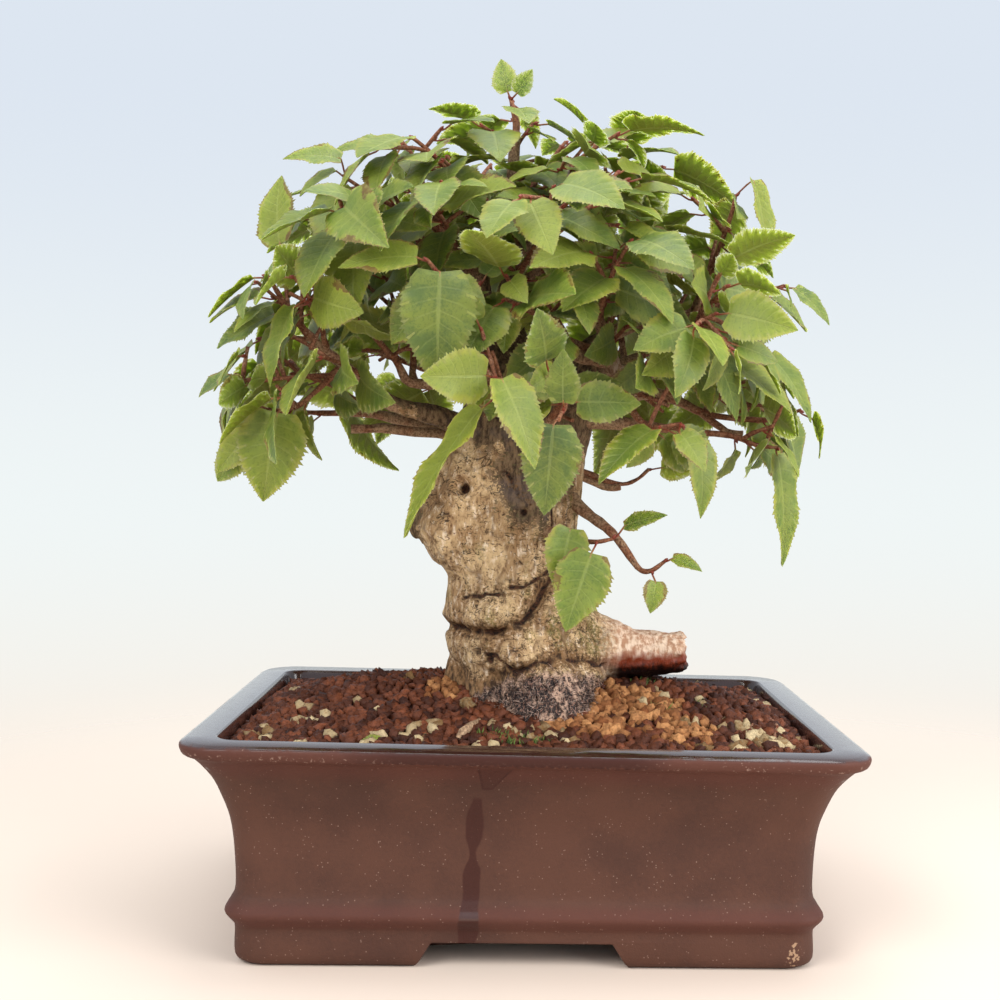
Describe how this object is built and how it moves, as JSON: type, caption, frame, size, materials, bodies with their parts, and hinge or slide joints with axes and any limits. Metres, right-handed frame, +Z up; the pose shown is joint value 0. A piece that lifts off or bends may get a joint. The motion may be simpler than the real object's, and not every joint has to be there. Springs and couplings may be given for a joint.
{
  "type": "korean hornbeam bonsai",
  "caption": "Small hornbeam tree with a thick bare trunk and a rounded crown of toothed leaves, in a rectangular brown stoneware pot with corner feet.",
  "frame": {"origin": "middle of the pot's underside, on the plane that its feet stand on", "axes": "+Z up, +X along the pot's length to the right seen from the front, +Y to the back"},
  "size_m": [0.2013, 0.15, 0.2815],
  "materials": {
    "stoneware": "unglazed brown stoneware",
    "drain_mesh": "black plastic mesh",
    "soil": "damp akadama grains",
    "bark": "pale cracked bark",
    "leafy_twig": "green leaves on brown twigs"
  },
  "bodies": {
    "root": {"pot": "stoneware", "drain_mesh_left": "drain_mesh", "drain_mesh_right": "drain_mesh", "soil": "soil", "trunk": "bark", "spray_leader_top": "leafy_twig", "spray_left_main": "leafy_twig", "spray_left_main_side": "leafy_twig", "spray_left_low": "leafy_twig", "spray_left_low_side": "leafy_twig", "spray_left_inner": "leafy_twig", "spray_left_front": "leafy_twig", "spray_left_tip_front": "leafy_twig", "spray_left_hanging": "leafy_twig", "spray_left_inner_up": "leafy_twig", "spray_left_back_main": "leafy_twig", "spray_left_back_side": "leafy_twig", "spray_left_back_low": "leafy_twig", "spray_back_low_left": "leafy_twig", "spray_upper_left": "leafy_twig", "spray_upper_left_twig": "leafy_twig", "spray_upper_left_side": "leafy_twig", "spray_upper_left_front": "leafy_twig", "spray_front_left_high": "leafy_twig", "spray_upper_left_back": "leafy_twig", "spray_upper_back_spur": "leafy_twig", "spray_upper_front": "leafy_twig", "spray_upper_right": "leafy_twig", "spray_upper_back": "leafy_twig", "spray_upper_right_back": "leafy_twig", "spray_upper_right_side": "leafy_twig", "spray_right_knee": "leafy_twig", "spray_knee_left": "leafy_twig", "spray_right_fork": "leafy_twig", "spray_right_fork_front": "leafy_twig", "spray_right_upper": "leafy_twig", "spray_right_upper_rise": "leafy_twig", "spray_right_upper_back": "leafy_twig", "spray_right_upper_tip": "leafy_twig", "spray_right_mid": "leafy_twig", "spray_right_mid_rise": "leafy_twig", "spray_right_mid_back": "leafy_twig", "spray_right_back_main": "leafy_twig", "spray_right_back_rise": "leafy_twig", "spray_right_back_side": "leafy_twig", "spray_right_hanging": "leafy_twig", "spray_right_low": "leafy_twig", "spray_low_droop": "leafy_twig", "spray_low_front": "leafy_twig", "spray_low_dark": "leafy_twig", "spray_front_left": "leafy_twig", "spray_front_mid_left": "leafy_twig", "spray_front_mid_right": "leafy_twig", "spray_front_high": "leafy_twig", "spray_front_high_right": "leafy_twig", "spray_back_high": "leafy_twig", "spray_back_high_right": "leafy_twig", "spray_back_mid": "leafy_twig", "spray_back_low": "leafy_twig", "spray_back_low_right": "leafy_twig"}
  },
  "joints": []
}
